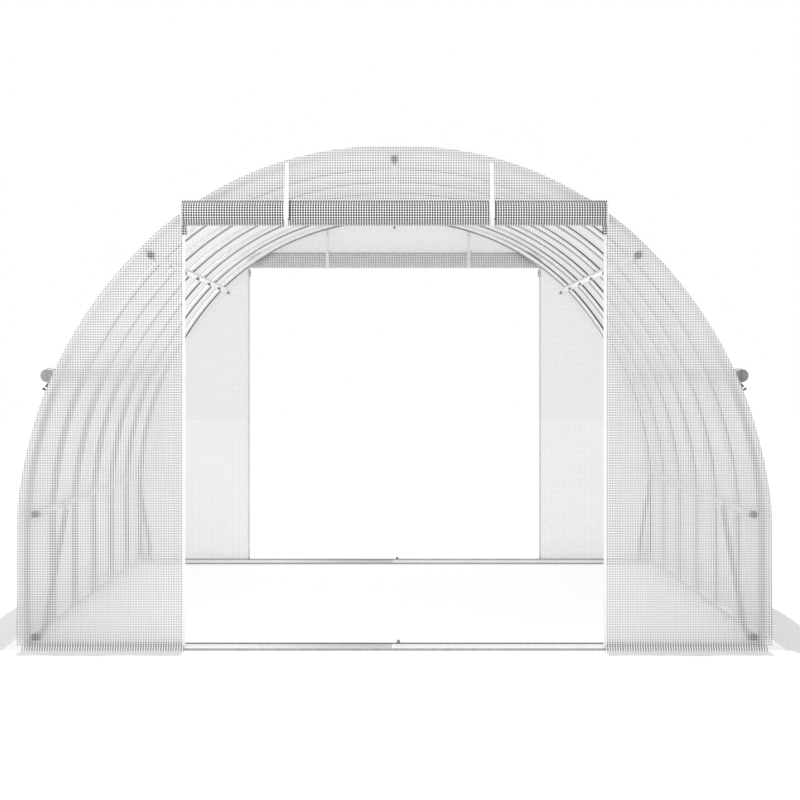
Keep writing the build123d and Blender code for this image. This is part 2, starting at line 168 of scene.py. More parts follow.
# Grey ends of the rolled flaps: the left lighter, painted light; the right darker, painted shade
LEFT_END_PAINTED_LIGHT, RIGHT_END_PAINTED_SHADE = grey(0.44, 0.60), grey(0.28, 0.40)
BRIGHT = ((0.84, 0.85, 0.86), (0.93, 0.93, 0.93))
SMOOTH = ((0.83, 0.835, 0.84), (0.87, 0.87, 0.87))
# Darker steel tones: painted shade and dark painted reflections for the stripes on the tubes
MID_PAINTED_SHADE = ((0.60, 0.61, 0.62), (0.72, 0.72, 0.72))
SILL_HALF_PAINTED_SHADE = ((0.58, 0.585, 0.59), (0.63, 0.63, 0.63))
STRONG_PAINTED_SHADE = ((0.24, 0.245, 0.25), (0.34, 0.34, 0.34))
ZINC = ((0.20, 0.20, 0.21), (0.34, 0.34, 0.35))
# Pale tone of the first hoop: painted light; near-black tone of the braces: painted shade
FIRST_HOOP_PAINTED_LIGHT, BRACE_PAINTED_SHADE = grey(0.93, 0.97), grey(0.06, 0.12)
# Tones of the painted shade lines along the tubes
SOFT_PAINTED_SHADE, HARD_PAINTED_SHADE = grey(0.38, 0.48), grey(0.02, 0.05)
GRAIN_DEPTH = 0.0004
FILM_ROUGH, YARN_ROUGH, TUBE_ROUGH = 0.25, 0.6, 0.22


# Shader steps
def material(name):
    mat = bpy.data.materials.new(name)
    mat.use_nodes = True
    nodes, links = mat.node_tree.nodes, mat.node_tree.links
    return mat, nodes, links, nodes["Principled BSDF"]


def feed(links, value, socket):
    if isinstance(value, float):
        socket.default_value = value
    else:
        links.new(value, socket)


def calculate(nodes, links, operation, *values):
    step = nodes.new("ShaderNodeMath")
    step.operation = operation
    for value, socket in zip(values, step.inputs):
        feed(links, value, socket)
    return step.outputs["Value"]


def noise(nodes, links, scale, detail=3.0):
    coord = nodes.new("ShaderNodeTexCoord")
    tex = nodes.new("ShaderNodeTexNoise")
    tex.inputs["Scale"].default_value = scale
    tex.inputs["Detail"].default_value = detail
    links.new(coord.outputs["Object"], tex.inputs["Vector"])
    return tex.outputs["Fac"]


def ramp(nodes, links, fac, low, high, ends=(0.35, 0.65)):
    tones = nodes.new("ShaderNodeValToRGB")
    for element, place, colour in zip(tones.color_ramp.elements, ends, (low, high)):
        element.position = place
        element.color = (*colour, 1)
    links.new(fac, tones.inputs["Fac"])
    return tones.outputs["Color"]


def bump(nodes, links, fac, bsdf, strength):
    relief = nodes.new("ShaderNodeBump")
    relief.inputs["Strength"].default_value = strength
    relief.inputs["Distance"].default_value = GRAIN_DEPTH
    links.new(fac, relief.inputs["Height"])
    links.new(relief.outputs["Normal"], bsdf.inputs["Normal"])


def between(nodes, links, mask, low, high):
    span = nodes.new("ShaderNodeMapRange")
    span.inputs["To Min"].default_value = low
    span.inputs["To Max"].default_value = high
    links.new(mask, span.inputs["Value"])
    return span.outputs["Result"]


def within(nodes, links, source, axis, first, last):
    coord = nodes.new("ShaderNodeTexCoord")
    split = nodes.new("ShaderNodeSeparateXYZ")
    side = nodes.new("ShaderNodeMapRange")
    side.interpolation_type = "SMOOTHSTEP"
    side.inputs["From Min"].default_value = first
    side.inputs["From Max"].default_value = last
    links.new(coord.outputs[source], split.inputs["Vector"])
    links.new(split.outputs[axis], side.inputs["Value"])
    return side.outputs["Result"]


def blended(nodes, links, fac, low, high):
    blend = nodes.new("ShaderNodeMix")
    blend.data_type = "RGBA"
    links.new(fac, blend.inputs["Factor"])
    links.new(low, blend.inputs["A"])
    links.new(high, blend.inputs["B"])
    return blend.outputs["Result"]


def grid_mask(nodes, links, hole_shares):
    lines = nodes.new("ShaderNodeAttribute")
    lines.attribute_name = "lines"
    split = nodes.new("ShaderNodeSeparateXYZ")
    links.new(lines.outputs["Vector"], split.inputs["Vector"])
    sides = []
    for axis, share in zip("XY", hole_shares):
        part = calculate(nodes, links, "FRACT", split.outputs[axis])
        part = calculate(nodes, links, "SUBTRACT", part, 0.5)
        part = calculate(nodes, links, "ABSOLUTE", part)
        sides.append(calculate(nodes, links, "GREATER_THAN", part, share / 2))
    return calculate(nodes, links, "MAXIMUM", *sides)


def mix_shaders(nodes, links, share, first, second):
    mix = nodes.new("ShaderNodeMixShader")
    feed(links, share, mix.inputs["Fac"])
    links.new(first, mix.inputs[1])
    links.new(second, mix.inputs[2])
    links.new(mix.outputs["Shader"], nodes["Material Output"].inputs["Surface"])


def let_through(nodes, links, bsdf, share, colour):
    glow = nodes.new("ShaderNodeBsdfTranslucent")
    glow.inputs["Color"].default_value = (*colour, 1)
    mix_shaders(nodes, links, share, bsdf.outputs["BSDF"], glow.outputs["BSDF"])


def see_through(nodes, links, mask, tint):
    clear = nodes.new("ShaderNodeBsdfTransparent")
    clear.inputs["Color"].default_value = (tint, tint, tint, 1)
    film = nodes["Material Output"].inputs["Surface"].links[0].from_socket
    mix_shaders(nodes, links, mask, clear.outputs["BSDF"], film)


# Kinds of material
def plastic(name, tones, rough, scale, grain, through=0.0):
    mat, nodes, links, bsdf = material(name)
    colour = ramp(nodes, links, noise(nodes, links, scale), *tones)
    links.new(colour, bsdf.inputs["Base Color"])
    bsdf.inputs["Roughness"].default_value = rough
    bump(nodes, links, noise(nodes, links, scale=900, detail=2), bsdf, grain)
    if through:
        let_through(nodes, links, bsdf, through, tones[1])
    return mat


def steel(name, tones, rough=TUBE_ROUGH, stripes=(), metal=0.85):
    mat, nodes, links, bsdf = material(name)
    colour = ramp(nodes, links, noise(nodes, links, scale=45, detail=6), *tones)
    # Each stripe blends a tone of painted shade into the colour where all its limits hold
    for stripe_tones, limits in stripes:
        patch = ramp(nodes, links, noise(nodes, links, scale=90, detail=4), *stripe_tones)
        fac = within(nodes, links, *limits[0])
        for limit in limits[1:]:
            fac = calculate(nodes, links, "MULTIPLY", fac, within(nodes, links, *limit))
        colour = blended(nodes, links, fac, colour, patch)
    links.new(colour, bsdf.inputs["Base Color"])
    bsdf.inputs["Metallic"].default_value = metal
    bsdf.inputs["Roughness"].default_value = rough
    bump(nodes, links, noise(nodes, links, scale=400, detail=4), bsdf, 0.08)
    return mat


def scrim(name, film, alphas, hole_shares, yarn=WHITE, through=0.5, gloss=0.5, tint=0.0):
    mat, nodes, links, bsdf = material(name)
    mask = grid_mask(nodes, links, hole_shares)
    holes = ramp(nodes, links, noise(nodes, links, scale=14), *film)
    threads = ramp(nodes, links, noise(nodes, links, scale=60), *yarn)
    links.new(blended(nodes, links, mask, holes, threads), bsdf.inputs["Base Color"])
    links.new(between(nodes, links, mask, *alphas), bsdf.inputs["Alpha"])
    links.new(between(nodes, links, mask, FILM_ROUGH, YARN_ROUGH), bsdf.inputs["Roughness"])
    bsdf.inputs["Specular IOR Level"].default_value = gloss
    bump(nodes, links, mask, bsdf, 0.4)
    if through:
        let_through(nodes, links, bsdf, between(nodes, links, mask, 0.0, through), yarn[1])
    # A tint makes the holes see-through, in place of the film's tone and alpha
    if tint:
        see_through(nodes, links, mask, tint)
    return mat


# Film, tape, webbing and net: the two alphas of a film are for its holes and its yarns
COVER_FILM = scrim("cover_scrim_film", CLEAR, (0.20, 0.90), HOLE_SHARES, MILKY)
REAR_FILM = scrim("rear_scrim_film", CLEAR, (0.20, 0.90), HOLE_SHARES, LIGHT)
FRONT_FILM = scrim("front_scrim_film", CLEAR, (0.58, 0.78), HOLE_SHARES, tint=0.46)
SKIRT_FILM = scrim("skirt_scrim_film", CLEAR, (0.62, 1.0), SKIRT_HOLE_SHARES)
# Rolled films: holes opaque in dark tones, painted shade of the inner wraps; lighter on the rear roll, near
# black on the front
FRONT_ROLL = scrim("front_rolled_film_painted_shade", FRONT_WRAPS_SHADE, (1.0, 1.0), FRONT_ROLL_HOLE_SHARES, through=0.0, gloss=0.15)
REAR_ROLL = scrim("rear_rolled_film_painted_shade", REAR_WRAPS_SHADE, (1.0, 1.0), ROLL_HOLE_SHARES, through=0.0)
SIDE_ROLL = scrim("rolled_flap_film_painted_shade", FLAP_WRAPS_SHADE, (1.0, 1.0), ROLL_HOLE_SHARES, through=0.0)
NET = scrim("insect_net", THREAD, (0.0, 1.0), NET_HOLE_SHARES, THREAD, through=0.3)
TAPE = plastic("white_tape", TAPE_WHITE, 0.65, 220, 0.35, through=0.3)
WEB = plastic("strap_web", WEB_WHITE, 0.7, 500, 0.5, through=0.2)
TIE = plastic("green_tie", TIE_GREEN, 0.6, 300, 0.4)
# Black for the purlin plugs, and for painted shade by the zips and painted shadows beside the straps
BLACK_AND_PAINTED_SHADE = plastic("black_plugs_and_painted_shade", PLUG_BLACK_AND_SHADE, 0.4, 300, 0.2)
# Ends of the rolled flaps: the left lighter, painted light; the right darker, painted shade
RIMS = {-1: plastic("left_rolled_edge_painted_light", LEFT_END_PAINTED_LIGHT, 0.5, 90, 0.2),
        1: plastic("right_rolled_edge_painted_shade", RIGHT_END_PAINTED_SHADE, 0.5, 90, 0.2)}

# Steel, with stripes of painted shade and dark painted reflections, placed by the way that the surface
# faces and by the place on the frame
# A limit of a stripe: coordinate, axis, where the stripe starts and where it is full
LEGS = [("Object", "Z", 1.30, 1.00)]
# Legs below the panels are darker, the left ones more: painted shade where the panels keep the light off
LEFT_LEG_SHADE = (STRONG_PAINTED_SHADE, LEGS + [("Object", "X", 0.1, -0.1)])
RIGHT_LEG_SHADE = (MID_PAINTED_SHADE, LEGS + [("Object", "X", -0.1, 0.1)])
# Undersides of the tubes and dark lines along the hoops' crown and side edges: painted shade and dark
# painted reflections
UNDER_TUBE_SHADE = (SOFT_PAINTED_SHADE, [("Normal", "Z", -0.20, -0.46)])
CROWN_SHADE_LINE = (HARD_PAINTED_SHADE, [("Normal", "Z", -0.72, -0.86)])
OUTER_SHADE_LINE = (HARD_PAINTED_SHADE, [("Normal", "X", 0.28, 0.45), ("Normal", "Z", -0.20, 0.0),
                          ("Object", "X", 0.20, 0.40)])
INNER_SHADE_LINE = (HARD_PAINTED_SHADE, [("Normal", "X", 0.45, 0.62), ("Normal", "Z", -0.25, -0.40),
                          ("Object", "X", -0.20, -0.40)])
# Dark lines along the tops and undersides of the sills and low purlins, and the sills' darker left halves:
# painted reflections and painted shade
TOP_SHADE_LINE = (HARD_PAINTED_SHADE, [("Normal", "Z", 0.68, 0.84)])
LOW_SHADE_LINE = (HARD_PAINTED_SHADE, [("Normal", "Z", -0.20, -0.46)])
SILL_LEFT_SHADE = (SILL_HALF_PAINTED_SHADE, [("Object", "X", -0.70, -0.10), ("Object", "X", -0.008, -0.012)])
HOOP_SHADE_STRIPES = [LEFT_LEG_SHADE, RIGHT_LEG_SHADE, UNDER_TUBE_SHADE, CROWN_SHADE_LINE, OUTER_SHADE_LINE, INNER_SHADE_LINE]
STEEL = steel("galvanised", BRIGHT)
# Braces in a near-black tone: painted shade
BRACE_STEEL = steel("galvanised_brace_painted_shade", BRACE_PAINTED_SHADE)
# First hoop paler and less metallic than the others: painted light, with painted shade on its legs
END_STEEL = steel("galvanised_first_hoop", FIRST_HOOP_PAINTED_LIGHT, rough=0.3, stripes=[(MID_PAINTED_SHADE, LEGS)], metal=0.3)
HOOP_STEEL = steel("galvanised_hoop", BRIGHT, stripes=HOOP_SHADE_STRIPES)
SILL_STEEL = steel("galvanised_sill_painted_shade", SMOOTH, stripes=[SILL_LEFT_SHADE, UNDER_TUBE_SHADE, TOP_SHADE_LINE])
LOW_STEEL = steel("galvanised_low_purlin_painted_shade", BRIGHT, stripes=[LOW_SHADE_LINE, TOP_SHADE_LINE])
BOLT = steel("zinc_bolt", ZINC, rough=0.3)


# Meshes from grids of points, with the grid lines of the scrim
def line_grid(a, b, pitch=PITCH):
    a, b = np.broadcast_arrays(np.asarray(a, float), np.asarray(b, float))
    return np.stack([a / pitch, b / pitch], -1)


def build(name, grids, mat, keep=None, smooth=True, lines=None):
    verts, quads, base = [], [], 0
    for n, grid in enumerate(grids):
        rows, cols = grid.shape[:2]
        index = np.arange(rows * cols).reshape(rows, cols) + base
        q = np.stack([index[:-1, :-1], index[1:, :-1], index[1:, 1:], index[:-1, 1:]], -1)
        quads.append(q[keep[n]] if keep is not None else q.reshape(-1, 4))
        verts.append(grid.reshape(-1, 3))
        base += rows * cols
    verts, quads = np.concatenate(verts), np.concatenate(quads)
    used, quads = np.unique(quads, return_inverse=True)
    quads, verts = quads.reshape(-1, 4), verts[used]
    mesh = bpy.data.meshes.new(name)
    mesh.vertices.add(len(verts))
    mesh.vertices.foreach_set("co", verts.astype(np.float32).ravel())
    mesh.loops.add(quads.size)
    mesh.loops.foreach_set("vertex_index", quads.astype(np.int32).ravel())
    mesh.polygons.add(len(quads))
    mesh.polygons.foreach_set("loop_start", np.arange(0, quads.size, 4, dtype=np.int32))
    mesh.update(calc_edges=True)
    mesh.polygons.foreach_set("use_smooth", np.full(len(quads), smooth))
    if lines is not None:
        values = np.concatenate([u.reshape(-1, 2) for u in lines])
        values = np.pad(values[used], ((0, 0), (0, 1))).astype(np.float32)
        mesh.attributes.new("lines", "FLOAT_VECTOR", "POINT").data.foreach_set("vector", values.ravel())
    mesh.materials.append(mat)
    obj = bpy.data.objects.new(name, mesh)
    bpy.context.scene.collection.objects.link(obj)
    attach(obj, "root")
    return obj


def thicken(obj, thickness, rim=None):
    modifier = obj.modifiers.new("thickness", "SOLIDIFY")
    modifier.thickness = thickness
    modifier.offset = 0
    if rim:
        obj.data.materials.append(rim)
        modifier.material_offset_rim = 1


# Half profile of the cover and hoops: arcs in x and z with outward normals
def arch_through(a, b, c):
    ab, bc = (b[0] - a[0], b[1] - a[1]), (c[0] - b[0], c[1] - b[1])
    p = (b[0] ** 2 + b[1] ** 2 - a[0] ** 2 - a[1] ** 2) / 2
    q = (c[0] ** 2 + c[1] ** 2 - b[0] ** 2 - b[1] ** 2) / 2
    det = ab[0] * bc[1] - ab[1] * bc[0]
    centre = ((p * bc[1] - q * ab[1]) / det, (ab[0] * q - bc[0] * p) / det)
    angles = [math.atan2(v[1] - centre[1], v[0] - centre[0]) for v in (a, c)]
    return centre, math.dist(centre, a), angles


def arch_point(shares):
    return LEG_X * shares[0], SPRING_Z + (RIDGE_Z - SPRING_Z) * shares[1]


def arc_rows(arch, shares):
    centre, radius, (a, b) = arch
    angle = a + np.asarray(shares) * (b - a)
    n = np.stack([np.cos(angle), np.sin(angle)], -1)
    return np.concatenate([np.asarray(centre) + radius * n, n], -1)


def share_at(arch, z):
    centre, radius, (a, b) = arch
    return (math.asin((z - centre[1]) / radius) - a) / (b - a)


SHOULDER = arch_point(SHOULDER_SHARES)
COVER_LOW = arch_through((WALL_X, SPRING_Z), arch_point(COVER_HAUNCH_SHARES), SHOULDER)
COVER_TOP = arch_through(SHOULDER, arch_point(COVER_CROWN_SHARES), (0, RIDGE_Z))
SILL_SHARE, HEAD_SHARE = (share_at(COVER_LOW, z) for z in WINDOW_Z)


def half_profile(wall, sill, window, haunch, top):
    rows = [np.stack([np.full(wall, WALL_X), np.linspace(FOOT_Z, SPRING_Z, wall, endpoint=False),
                      np.ones(wall), np.zeros(wall)], -1)]
    rows += [arc_rows(COVER_LOW, np.linspace(0, SILL_SHARE, sill, endpoint=False))]
    rows += [arc_rows(COVER_LOW, np.linspace(SILL_SHARE, HEAD_SHARE, window, endpoint=False))]
    rows += [arc_rows(COVER_LOW, np.linspace(HEAD_SHARE, 1, haunch, endpoint=False))]
    rows += [arc_rows(COVER_TOP, np.linspace(0, 1, top))]
    rows = np.concatenate(rows)
    rows[-1, 2:] = (0, 1)
    return rows


def run_along(path):
    return np.concatenate([[0], np.cumsum(np.linalg.norm(np.diff(path, axis=0), axis=1))])


def full_profile(*counts):
    half = half_profile(*counts)
    left = half * np.array([-1, 1, -1, 1])
    rows = np.concatenate([left, half[-2::-1]])
    return rows, run_along(rows[:, :2])


FINE_COUNTS, COARSE_COUNTS = (40, 40, 60, 100, 160), (2, 4, 4, 8, 12)
FINE, FINE_RUN = full_profile(*FINE_COUNTS)
COARSE, _ = full_profile(*COARSE_COUNTS)
ARCH_RUN = FINE_RUN[-1]
HALF_STATIONS = sum(COARSE_COUNTS)


def run_at_height(z):
    upto = len(FINE) // 2 + 1
    return float(np.interp(z, FINE[:upto, 1], FINE_RUN[:upto]))


STATION_RUN = np.array([run_at_height(z) for z in COARSE[:HALF_STATIONS, 1]])
STATION_RUN = np.concatenate([STATION_RUN, ARCH_RUN - STATION_RUN[-2::-1]])
WINDOW_RUN = [run_at_height(z) for z in WINDOW_Z]


def sag(y):
    return np.where(np.abs(y) < HALF, SAG * np.sin(np.pi * (y + HALF) / BAY) ** 2, 0)


def on_cover(run, y, lift=0.0):
    run, y = np.broadcast_arrays(np.asarray(run, float), np.asarray(y, float))
    x, z, nx, nz = (np.interp(run, FINE_RUN, FINE[:, k]) for k in range(4))
    d = COVER_LIFT - sag(y) + lift
    return np.stack([x + nx * d, y, z + nz * d], -1)


JAMB_SHARE = (1 - WINDOW_W / BAY) / 2
ROW_SHARES = np.array([0, JAMB_SHARE, 0.3, 0.5, 0.7, 1 - JAMB_SHARE])
ROWS = np.concatenate([[-PANEL_Y]] + [y + ROW_SHARES * BAY for y in HOOP_Y[:-1]] + [[HALF, PANEL_Y]])


def in_window_y(y):
    return any(a < y < b for a, b in WINDOW_Y)


def in_window_run(run):
    low, high = WINDOW_RUN
    return low < run < high or low < ARCH_RUN - run < high


def mids(values):
    return (np.asarray(values)[:-1] + np.asarray(values)[1:]) / 2


# Cover film, one sheet from foot to foot with the windows cut out
grid = on_cover(STATION_RUN[:, None], ROWS[None, :])
solid = ~np.array([[in_window_run(r) and in_window_y(y) for y in mids(ROWS)] for r in mids(STATION_RUN)])
lines = [line_grid(STATION_RUN[:, None], ROWS[None, :])]
cover = build("cover", [grid], COVER_FILM, [solid], lines=lines)


# Gable panels with the doorway left open, and their zips: tape, teeth and dark patches of painted shade
OUT_X = FINE[:, 0] + FINE[:, 2] * EDGE_LIFT
OUT_Z = FINE[:, 1] + FINE[:, 3] * EDGE_LIFT
RIGHT = slice(len(FINE) // 2, None)


def arch_height(x):
    return np.interp(np.abs(x), OUT_X[RIGHT], OUT_Z[RIGHT])


EDGE_X = float(OUT_X.max())


def upright(x, z, y, end):
    x, z = np.broadcast_arrays(np.asarray(x, float), np.asarray(z, float))
    return np.stack([x, np.full(x.shape, end * y), z], -1)


def panel_film(end):
    stations = OUT_X[RIGHT][::8]
    xs = np.unique(np.concatenate([stations[stations > DOOR_X], [DOOR_X, EDGE_X]]))
    levels = np.linspace(0, 1, 9)[:, None]
    grids = []
    for side in (-1, 1):
        z = PANEL_FOOT_Z + levels * (arch_height(xs) - PANEL_FOOT_Z)[None, :]
        grids += [upright(side * xs[None, :], z, PANEL_Y, end)]
    xs = np.linspace(-DOOR_X, DOOR_X, 41)
    z = DOOR_Z + levels[::4] * (arch_height(xs) - DOOR_Z)[None, :]
    return grids + [upright(xs[None, :], z, PANEL_Y, end)]


def zip_pieces(end, gable):
    tapes, teeth, shade_patches = [], [], []
    levels = np.linspace(PANEL_FOOT_Z, DOOR_Z, 12)[:, None]
    for side in (-1, 1):
        tape = side * np.array([[DOOR_X, DOOR_X + ZIP_TAPE]])
        tapes += [upright(tape, levels, PANEL_Y + TAPE_LIFT, end)]
        tooth = side * np.array([[DOOR_X + x for x in TEETH_X]])
        for z in np.arange(PANEL_FOOT_Z + ZIP_MARGIN, DOOR_Z - ZIP_MARGIN, ZIP_PITCH):
            teeth += [upright(tooth, [[z], [z + ZIP_PITCH / 2]], PANEL_Y + TEETH_LIFT, end)]
        # Dark patches near the zip's top: painted shade of the rolled door behind the panel
        for x in SHADE_PATCH_X:
            shade_patch = side * np.array([[DOOR_X + x, DOOR_X + x + SHADE_PATCH]])
            for z in SHADE_PATCH_Z:
                shade_patches += [upright(shade_patch, [[z], [z + SHADE_PATCH]], PANEL_Y + SHADE_PATCH_LIFT, end)]
    pieces = [build(f"{gable}_zip_tapes", tapes, TAPE, smooth=False),
              build(f"{gable}_zip_teeth", teeth, TAPE, smooth=False),
              build(f"{gable}_zip_painted_shade", shade_patches, BLACK_AND_PAINTED_SHADE, smooth=False)]
    thicken(pieces[-1], SHADE_PATCH_SKIN)
    return pieces


PANEL_AREA = 2 * EDGE_X * float(np.mean(arch_height(np.linspace(-EDGE_X, EDGE_X, 601)) - PANEL_FOOT_Z))
PANEL_AREA -= 2 * DOOR_X * (DOOR_Z - PANEL_FOOT_Z)
for end, gable in ((-1, "front"), (1, "rear")):
    grids = panel_film(end)
    lines = [line_grid(g[..., 0], g[..., 2]) for g in grids]
    film = FRONT_FILM if end < 0 else REAR_FILM
    panel = build(f"{gable}_panel", grids, film, smooth=False, lines=lines)
    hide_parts(*[f"{gable}_panel_{part}" for part in ("left", "right", "header")])
    zip_pieces(end, gable)


# Rolled film: a sheet wound in half turns below its tail
def spiral(radius, pitch, half_turns, tail, arc_steps=14, tail_steps=4):
    r, centre, turn = radius - FACE, radius, math.pi
    drop = np.linspace(tail, 0, tail_steps, endpoint=False)
    rows = [np.stack([np.full(tail_steps, FACE), drop], -1)]
    for n in range(half_turns):
        angle = np.linspace(turn, turn + math.pi, arc_steps, endpoint=n == half_turns - 1)
        rows += [np.stack([centre + r * np.cos(angle), r * np.sin(angle)], -1)]
        centre += pitch / 2 if n % 2 == 0 else -pitch / 2
        r -= pitch / 2
        turn += math.pi
    return np.concatenate(rows)


def outward_normals(path):
    step = np.gradient(path, axis=0)
    n = np.stack([-step[:, 1], step[:, 0]], -1)
    return -n / np.linalg.norm(n, axis=1, keepdims=True)


def in_frame(points, along, origin, u_dir, v_dir, w_dir):
    uv = np.asarray(points, float)
    w = np.asarray(along, float)
    return origin + uv[..., :1] * u_dir + uv[..., 1:] * v_dir + w[..., None] * w_dir


def roll_grids(path, length, steps, axes):
    along = np.linspace(0, length, steps + 1)
    uv = np.broadcast_to(path[:, None, :], (len(path), steps + 1, 2))
    return in_frame(uv, np.broadcast_to(along, uv.shape[:2]), *axes)


def roll_lines(path, length, steps):
    return line_grid(run_along(path)[:, None], np.linspace(0, length, steps + 1)[None, :])


def band(path, width, thickness, axes):
    n = outward_normals(path)
    half = np.asarray(width, float) / 2 * np.ones(len(path))
    corners = [(1, -1), (1, 1), (-1, 1), (-1, -1), (1, -1)]
    rows = [in_frame(path + n * (a * thickness / 2), b * half, *axes) for a, b in corners]
    return np.stack(rows, 1)


# Rolled doors with their hems
for end, gable in ((-1, "front"), (1, "rear")):
    path = spiral(DOOR_ROLL_R, DOOR_ROLL_PITCH, DOOR_ROLL_HALF_TURNS, DOOR_Z + TAIL_LAP - ROLL_Z[end])
    axes = (np.array([end * -ROLL_X, end * (HALF + ROLL_LIFT), ROLL_Z[end]]), end * Y, Z, end * X)
    grids, lines = [roll_grids(path, 2 * ROLL_X, 12, axes)], [roll_lines(path, 2 * ROLL_X, 12)]
    film = FRONT_ROLL if end < 0 else REAR_ROLL
    roll = build(f"{gable}_door_roll_film", grids, film, lines=lines)
    thicken(roll, DOOR_FILM)
    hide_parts(f"{gable}_door_roll")
    outer = (path + outward_normals(path) * ROLL_HEM_LIFT)[ROLL_HEM_ROWS]
    bands = []
    for along in (ROLL_HEM / 2, 2 * ROLL_X - ROLL_HEM / 2):
        shifted = (axes[0] + along * axes[3], *axes[1:])
        bands += [band(outer, ROLL_HEM, ROLL_HEM_SKIN, shifted)]
    hem = build(f"{gable}_door_roll_hem", bands, TAPE)


# Straps that loop under each rolled door
def on_roll(end, off, angle):
    centre = np.array([DOOR_ROLL_R + SEAT, ROLL_Z[end]])
    return centre + (DOOR_ROLL_R + off) * np.stack([np.cos(angle), np.sin(angle)], -1)


def strap_path(end):
    top = np.array([STRAP_FRONT, RIDGE_Z - STRAP_DROP])
    reach = top - np.array([DOOR_ROLL_R + SEAT, ROLL_Z[end]])
    touch = math.atan2(reach[1], reach[0]) - math.acos((DOOR_ROLL_R + STRAP_OFF) / np.linalg.norm(reach))
    bend = on_roll(end, STRAP_OFF, np.linspace(touch, STRAP_LEAVES_ROLL, 28))
    inside = [(STRAP_BACK, z) for z in (DOOR_Z - STRAP_TURN_IN, DOOR_Z, RIDGE_Z - STRAP_BACK_DROP)]
    return np.concatenate([np.linspace(top, bend[0], 6, endpoint=False), bend, inside])


def layer_band(end, layer, axes):
    start, stop, off, width, thickness, steps = layer
    return band(on_roll(end, off, np.radians(np.linspace(start, stop, steps))), width, thickness, axes)


strap_bands, strap_shadow_bands = [], []
for end in (-1, 1):
    for x in STRAP_X:
        axes = (np.array([-end * x, end * (PANEL_Y + FACE), 0]), end * Y, Z, end * X)
        strap_bands += [band(strap_path(end), STRAP_W, STRAP_SKIN, axes)]
        strap_bands += [layer_band(end, layer, axes) for layer in STRAP_LAYERS]
        # Dark strip beside the strap's patch: painted shadow of the strap on the roll
        strap_shadow_bands += [layer_band(end, STRAP_SHADOW_LAYER, (axes[0] + STRAP_SHADOW_X * X, *axes[1:]))]
straps = build("straps", strap_bands, WEB, smooth=False)
build("strap_painted_shadows", strap_shadow_bands, BLACK_AND_PAINTED_SHADE, smooth=False)
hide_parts("door_straps")

# Side windows: net, rolled flap and ties at each, and the hems round all of them
FLAP_PATH = spiral(FLAP_R, FLAP_PITCH, FLAP_HALF_TURNS, FLAP_TAIL, arc_steps=12, tail_steps=3)
FLAP_LENGTH = WINDOW_W + 2 * FLAP_LAP


def tie_bands(seat, u_dir, v_dir, side):
    angle = np.radians(np.linspace(*TIE_ANGLES, 20))
    loop = np.array([FLAP_R, 0]) + (FLAP_R + TIE_OFF) * np.stack([np.cos(angle), np.sin(angle)], -1)
    bands = [band(loop, TIE_W, TIE_SKIN, (seat, u_dir, v_dir, Y))]
    axes = (seat + u_dir * FLAP_R, side * X, Z, Y)
    return bands + [band(np.array(strip), TIE_W, TIE_FOLD, axes) for strip in TIE_TAILS]


def window_net(name, place, across):
    runs = np.linspace(*WINDOW_RUN, 9)[:, None]
    lines = [line_grid(runs, across, NET_PITCH)]
    net = build(name, [on_cover(place(runs), across)], NET, lines=lines)
    return net


def flap_roll(name, seat, u_dir, v_dir, rim):
    grids = [roll_grids(FLAP_PATH, FLAP_LENGTH, 8, (seat, u_dir, v_dir, Y))]
    flap = build(name, grids, SIDE_ROLL, lines=[roll_lines(FLAP_PATH, FLAP_LENGTH, 8)])
    thicken(flap, FLAP_FILM, rim)
    return flap


def hem_grids(place, a, b):
    lo, hi = WINDOW_RUN
    runs, across = np.linspace(lo - WINDOW_HEM, hi + WINDOW_HEM, 7), np.linspace(a, b, 4)
    strips = [(runs, (a - WINDOW_HEM, a)), (runs, (b, b + WINDOW_HEM))]
    strips += [((lo - WINDOW_HEM, lo), across), ((hi, hi + WINDOW_HEM), across)]
    return [on_cover(place(np.array(r))[:, None], np.array(y)[None, :], WINDOW_HEM_LIFT) for r, y in strips]


hem_strips = []
for side, hand in ((-1, "left"), (1, "right")):
    place = (lambda run: run) if side < 0 else (lambda run: ARCH_RUN - run)
    x, z, nx, nz = arc_rows(COVER_LOW, [share_at(COVER_LOW, WINDOW_Z[1] + FLAP_RISE)])[0]
    u_dir, v_dir = np.array([side * nx, 0, nz]), np.array([-side * nz, 0, nx])
    for n, (a, b) in enumerate(WINDOW_Y, 1):
        hem_strips += hem_grids(place, a, b)
        net = window_net(f"{hand}_window_net_{n}", place, np.linspace(a, b, 4)[None, :])
        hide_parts(f"{hand}_window_screens")
        seat = np.array([side * x, (a + b) / 2, z]) + u_dir * (EDGE_LIFT + SEAT)
        bands = tie_bands(seat - TIE_REACH * Y, u_dir, v_dir, side)
        bands += tie_bands(seat + TIE_REACH * Y, u_dir, v_dir, side)
        ties = build(f"{hand}_flap_ties_{n}", bands, TIE)
        start = seat - FLAP_LENGTH / 2 * Y
        flap = flap_roll(f"{hand}_flap_roll_{n}", start, u_dir, v_dir, RIMS[side])
        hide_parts(f"{hand}_window_rolls")
hems = build("window_hems", hem_strips, TAPE)

# The cover stands for all bands of the solids, less its windows
for hand in ("left", "right"):
    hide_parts(*[f"{hand}_{part}_sheet" for part in ("wall", "window", "haunch", "roof", "ridge")])


# Skirts that lie out flat in low waves
def wave(a, b, seed):
    swell, most = 0, 0
    for share, along, across, shift in WAVE_TERMS:
        swell = swell + share * np.sin(along * a + across * b + shift * seed)
        most += share
    return WAVE * (1.0 + swell / most)


def skirt_height(u, slope, rise):
    return np.interp(u, [0, slope, slope + 1], [rise, 0, 0]) + SKIRT_SKIN


